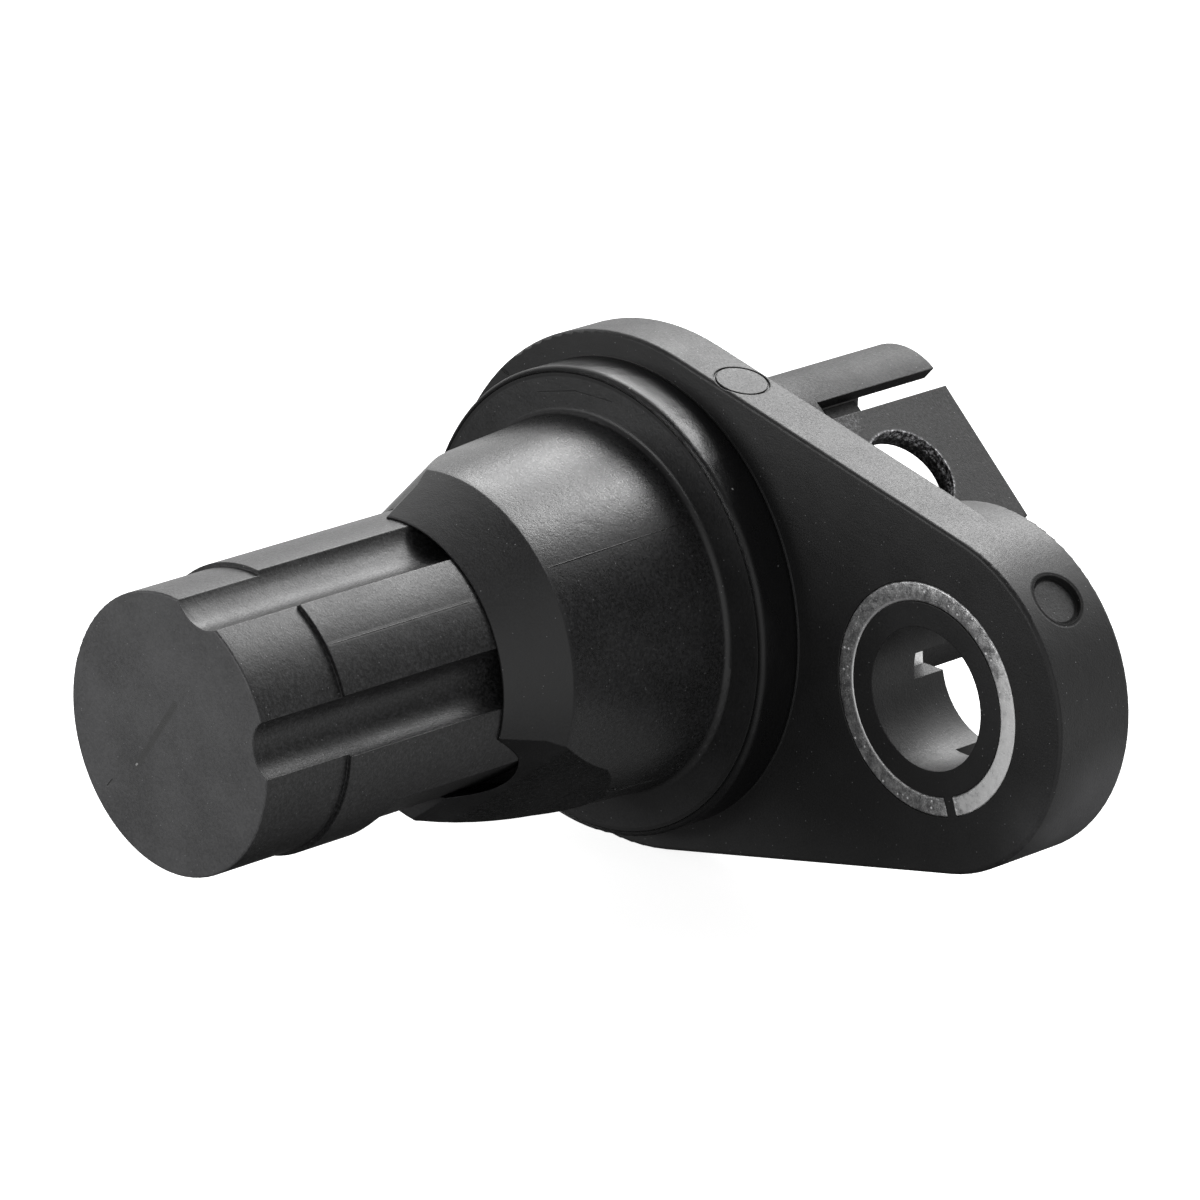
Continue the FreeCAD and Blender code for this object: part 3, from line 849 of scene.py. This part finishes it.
# painted light: the ear's lower edge is much paler, as if lit from behind and below
EAR_LOWER_EDGE_PAINTED_LIGHT = Patch((28.5, 4.0, -5.5), 6.0, Skin(paler=8.0), edge=4.5)
SOCKET = Zone(-23.0, -5.4, 12.0, Skin(paler=0.55, glossier=-0.14, grainier=1.8))
FLANGE_MOULD_MARK = Patch((5.85, 1.65, 11.8), 1.3, Skin(paler=1.5, grainier=0.8))
EAR_MOULD_MARK = Patch((25.96, 2.3, 6.06), 1.24, Skin(paler=1.1, grainier=0.9))
# painted shadow: a dark, rough ring round the ear's mould mark, with a sunk bump
EAR_MARK_PAINTED_SHADOW = Patch((25.96, 2.3, 6.06), 1.3, Skin(paler=0.2, glossier=-0.4, sunk=2.5), rim=0.2)
# painted light on the latch hole's rim and wall; the wall is also grainier
LATCH_HOLE_RIM_PAINTED_LIGHT = Patch((2.9, 17.1, 3.17), 2.58, Skin(paler=6.0), rim=0.12)
LATCH_HOLE_WALL_PAINTED_LIGHT = Patch((2.22, 17.1, 2.43), 2.67, Skin(paler=4.0, grainier=1.0), edge=0.05)
# painted light on the tab beside the rib, which is also grainier
TAB_BY_RIB_PAINTED_LIGHT = Patch((0.2, 14.8, 6.0), 1.5, Skin(paler=3.5, grainier=1.0))

# Fine marks on the housing
FLANGE_TICK = Nick((-9.3, 0.0, 9.26), (-8.58, 0.0, 9.02), 0.16, 0.003, 5.0)
SHOULDER_LINE_LEFT = Nick((-3.85, -2.5, 9.8), (-1.29, -2.5, 10.48), 0.07, 0.004)
SHOULDER_LINE_RIGHT = Nick((-1.29, -2.5, 10.48), (1.26, -2.5, 10.55), 0.07, 0.004)

# Places and marks on the nose cap
TIP_FACE = Zone(29.42, 30.0, 8.0, Skin(paler=2.9, glossier=-0.12), edge=0.04)
NOSE_SIDE = Zone(12.0, 29.4, 8.0, Skin(grainier=0.8), edge=0.2)
TIP_CREASE = Nick((-2.15, -29.5, -2.05), (0.47, -29.5, 1.6), 0.5, 0.048, 0.1)
JOINT_SHEEN = Nick((5.3, -15.3, 4.61), (5.3, -24.3, 4.61), 0.34, 0.07, -0.3)
TIP_TICK = Nick((-4.35, -29.5, -3.75), (-4.0, -29.5, -3.35), 0.09, 0.012)
TIP_DOT = Nick((-2.28, -29.5, -2.12), (-2.2, -29.5, -2.05), 0.14, 0.3)


@dataclass(frozen=True)
class Mouldings:
    """The housing and the nose cap, which keep their CAD shapes, with the joint lines of their moulds."""

    housing: MouldedPlastic = MouldedPlastic(
        "housing_plastic",
        regions=(
            BARREL, SHOULDER_RIM_PAINTED_SHADE, FLANGE, EAR_LOWER_EDGE_PAINTED_LIGHT, SOCKET, FLANGE_MOULD_MARK, EAR_MOULD_MARK,
            EAR_MARK_PAINTED_SHADOW, LATCH_HOLE_RIM_PAINTED_LIGHT, LATCH_HOLE_WALL_PAINTED_LIGHT, TAB_BY_RIB_PAINTED_LIGHT,
        ),
        nicks=(FLANGE_TICK, SHOULDER_LINE_LEFT, SHOULDER_LINE_RIGHT),
    )
    cap: MouldedPlastic = MouldedPlastic(
        "nose_plastic", colour=(0.018, 0.018, 0.0185), roughness=0.4, grain_mm=0.01,
        specks=Dots(7.0, 0.05, 0.26),
        regions=(TIP_FACE, NOSE_SIDE), nicks=(TIP_CREASE, JOINT_SHEEN, TIP_TICK, TIP_DOT),
    )
    joint_angle: float = 41.0
    barrel_route: tuple[Span, ...] = ((9.37, 3.0), (8.71, 11.9))
    nose_route: tuple[Span, ...] = ((7.02, 15.3), (7.02, 24.3))

    def dress(self, nodes: Mapping[str, bpy.types.Object]) -> None:
        """Dresses both mouldings and adds their joint lines.

        Args:
            nodes: the frame's CAD objects by name.
        """
        angle = self.joint_angle
        barrel_flash = FlashLine("barrel_flash", angle, self.barrel_route, self.housing.name, seed=3)
        nose_flash = FlashLine("nose_flash", angle, self.nose_route, self.cap.name, seed=5)
        pairs = (("housing", self.housing, barrel_flash), ("nose_cap", self.cap, nose_flash))
        for name, plastic, flash in pairs:
            material = plastic.material()
            set_material(nodes[name], material)
            LOG.info("dressed %s", name)
            flash.dress(material)


@dataclass(frozen=True)
class InnerParts:
    """Everything behind the socket's mouth and inside the cap."""

    kinds: tuple[tuple[str, InnerKind], ...] = (
        ("terminal_carrier", InnerKind.CARRIER),
        ("supply_terminal", InnerKind.TIN),
        ("signal_terminal", InnerKind.TIN),
        ("ground_terminal", InnerKind.TIN),
        ("potting_resin", InnerKind.RESIN),
        ("chip_holder", InnerKind.CARRIER),
        ("hall_chip", InnerKind.EPOXY),
        ("pole_plate", InnerKind.PLATE),
        ("bias_magnet", InnerKind.MAGNET),
        ("supply_lead", InnerKind.LEAD),
        ("signal_lead", InnerKind.LEAD),
        ("ground_lead", InnerKind.LEAD),
        ("circuit_board", InnerKind.BOARD),
        ("supply_capacitor", InnerKind.CERAMIC),
        ("series_resistor", InnerKind.CERAMIC),
        ("signal_capacitor", InnerKind.CERAMIC),
        ("terminal_solder", InnerKind.SOLDER),
        ("lead_solder", InnerKind.SOLDER),
    )

    def dress(self, nodes: Mapping[str, bpy.types.Object]) -> None:
        """Gives each inner piece its finish.

        Args:
            nodes: the frame's CAD objects by name.
        """
        made = {kind: InnerFinish(kind).material() for _, kind in self.kinds}
        for name, kind in self.kinds:
            set_material(nodes[name], made[kind])
            LOG.info("dressed %s", name)


@dataclass(frozen=True)
class Seals:
    """The two rubber rings."""

    rubber: SealRubber = SealRubber()

    def dress(self, nodes: Mapping[str, bpy.types.Object]) -> None:
        """Gives both rings the rubber.

        Args:
            nodes: the frame's CAD objects by name.
        """
        material = self.rubber.material()
        for name in ("seal_ring", "cap_seal_ring"):
            set_material(nodes[name], material)
            LOG.info("dressed %s", name)


@dataclass(frozen=True)
class Glow:
    """One soft glow of the surroundings; it begins where the cosine of the angle to it reaches its start."""

    towards: Point
    start: float
    strength: float


@dataclass(frozen=True)
class SoftBox:
    """A soft square light, in metres and watts."""

    name: str
    place: Point
    aim: Point
    size: float
    power: float


@dataclass(frozen=True)
class Studio:
    """Pale floor, soft surroundings that are bright above and behind, softboxes and the camera."""

    floor_z: float = -0.0131
    floor_half: float = 1.6
    floor_grey: float = 0.8
    floor_roughness: float = 0.9
    floor_glow: float = 0.85
    ambient: float = 0.03
    glows: tuple[Glow, ...] = (
        Glow((-0.45, 0.7, 0.55), 0.35, 1.2),
        Glow((0.0, 0.69, 0.73), 0.75, 1.3),
        Glow((0.8, -0.6, 0.0), 0.35, 0.78),
        Glow((0.48, 0.69, -0.55), 0.7, 0.25),
        Glow((0.5, 0.85, -0.15), 0.8, 0.7),
        Glow((-0.97, 0.1, 0.2), 0.35, 0.18),
        Glow((-0.7, -0.65, -0.3), 0.35, 0.07),
        Glow((0.95, 0.25, 0.15), 0.35, 0.06),
    )
    boxes: tuple[SoftBox, ...] = (
        SoftBox("box_behind", (-0.16, 0.26, 0.26), (0.0, 0.0, 0.0), 0.2, 0.75),
        SoftBox("box_by_tip", (-0.05, -0.11, 0.02), (0.0, -0.03, 0.0), 0.05, 0.055),
        SoftBox("box_above", (0.008, 0.035, 0.06), (0.003, -0.009, 0.008), 0.02, 0.016),
    )
    eye: Point = (0.2397, -0.2371, 0.1206)
    right: Point = (0.6962, 0.7177, 0.0163)
    up: Point = (-0.2533, 0.2243, 0.941)
    lens: float = 220.9
    film_width: float = 36.0
    nearest: float = 0.01
    farthest: float = 50.0

    def _floor(self) -> None:
        """Makes the pale floor, which glows evenly and takes a faint shadow."""
        build = bmesh.new()
        half = self.floor_half
        corners = ((-half, -half), (half, -half), (half, half), (-half, half))
        build.faces.new([build.verts.new((x, y, self.floor_z)) for x, y in corners])
        mesh = bpy.data.meshes.new("floor")
        build.to_mesh(mesh)
        build.free()
        floor = bpy.data.objects.new("floor", mesh)
        bpy.context.scene.collection.objects.link(floor)
        material, graph = new_material("pale_floor")
        grey = self.floor_grey
        graph.surface({
            "Base Color": (grey, grey, grey, 1.0), "Roughness": self.floor_roughness,
            "Specular IOR Level": 0.0, "Emission Color": (*WHITE, 1.0), "Emission Strength": self.floor_glow,
        })
        set_material(floor, material)
        floor.visible_diffuse = False
        floor.visible_glossy = False

    def _surroundings(self) -> None:
        """Fills the world with soft glows; the camera itself sees plain white."""
        world = bpy.data.worlds.new("studio")
        world.use_nodes = True
        bpy.context.scene.world = world
        graph = Graph(world.node_tree)
        direction = graph.node("ShaderNodeTexCoord", {}, {}, "Generated")
        light: Term = self.ambient
        for glow in self.glows:
            towards = Vector(glow.towards).normalized()
            light = direction.dot(towards).step(glow.start, 1.0) * glow.strength + light
        seen = graph.node("ShaderNodeLightPath", {}, {}, "Is Camera Ray")
        strength = light * (1.0 - seen) + seen
        shader = graph.node("ShaderNodeBackground", {}, {"Color": (*WHITE, 1.0), "Strength": strength})
        graph.node("ShaderNodeOutputWorld", {}, {"Surface": shader})

    def _lights(self) -> None:
        """Hangs the softboxes."""
        for box in self.boxes:
            lamp = bpy.data.lights.new(box.name, "AREA")
            lamp.shape = "SQUARE"
            lamp.size = box.size
            lamp.energy = box.power
            thing = bpy.data.objects.new(box.name, lamp)
            bpy.context.scene.collection.objects.link(thing)
            thing.location = box.place
            thing.rotation_mode = "QUATERNION"
            thing.rotation_quaternion = (Vector(box.aim) - Vector(box.place)).to_track_quat("-Z", "Y")

    def _camera(self) -> None:
        """Sets the camera at the photograph's angle."""
        data = bpy.data.cameras.new("camera")
        data.lens = self.lens
        data.sensor_width = self.film_width
        data.clip_start = self.nearest
        data.clip_end = self.farthest
        camera = bpy.data.objects.new("camera", data)
        bpy.context.scene.collection.objects.link(camera)
        right = Vector(self.right).normalized()
        back = right.cross(Vector(self.up)).normalized()
        up = back.cross(right)
        turn = Matrix((right, up, back)).transposed()
        camera.matrix_world = Matrix.Translation(self.eye) @ turn.to_4x4()
        bpy.context.scene.camera = camera

    def build(self) -> None:
        """Builds the studio."""
        self._floor()
        self._surroundings()
        self._lights()
        self._camera()
        bpy.context.scene.view_settings.view_transform = "Standard"
        LOG.info("built the studio")


def main() -> None:
    """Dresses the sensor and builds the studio."""
    logging.basicConfig(level=logging.INFO, format="%(message)s")
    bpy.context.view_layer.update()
    nodes = frame["nodes"]
    Mouldings().dress(nodes)
    Seals().dress(nodes)
    MountingBush().dress()
    InnerParts().dress(nodes)
    Studio().build()


if __name__ == "__main__":
    main()
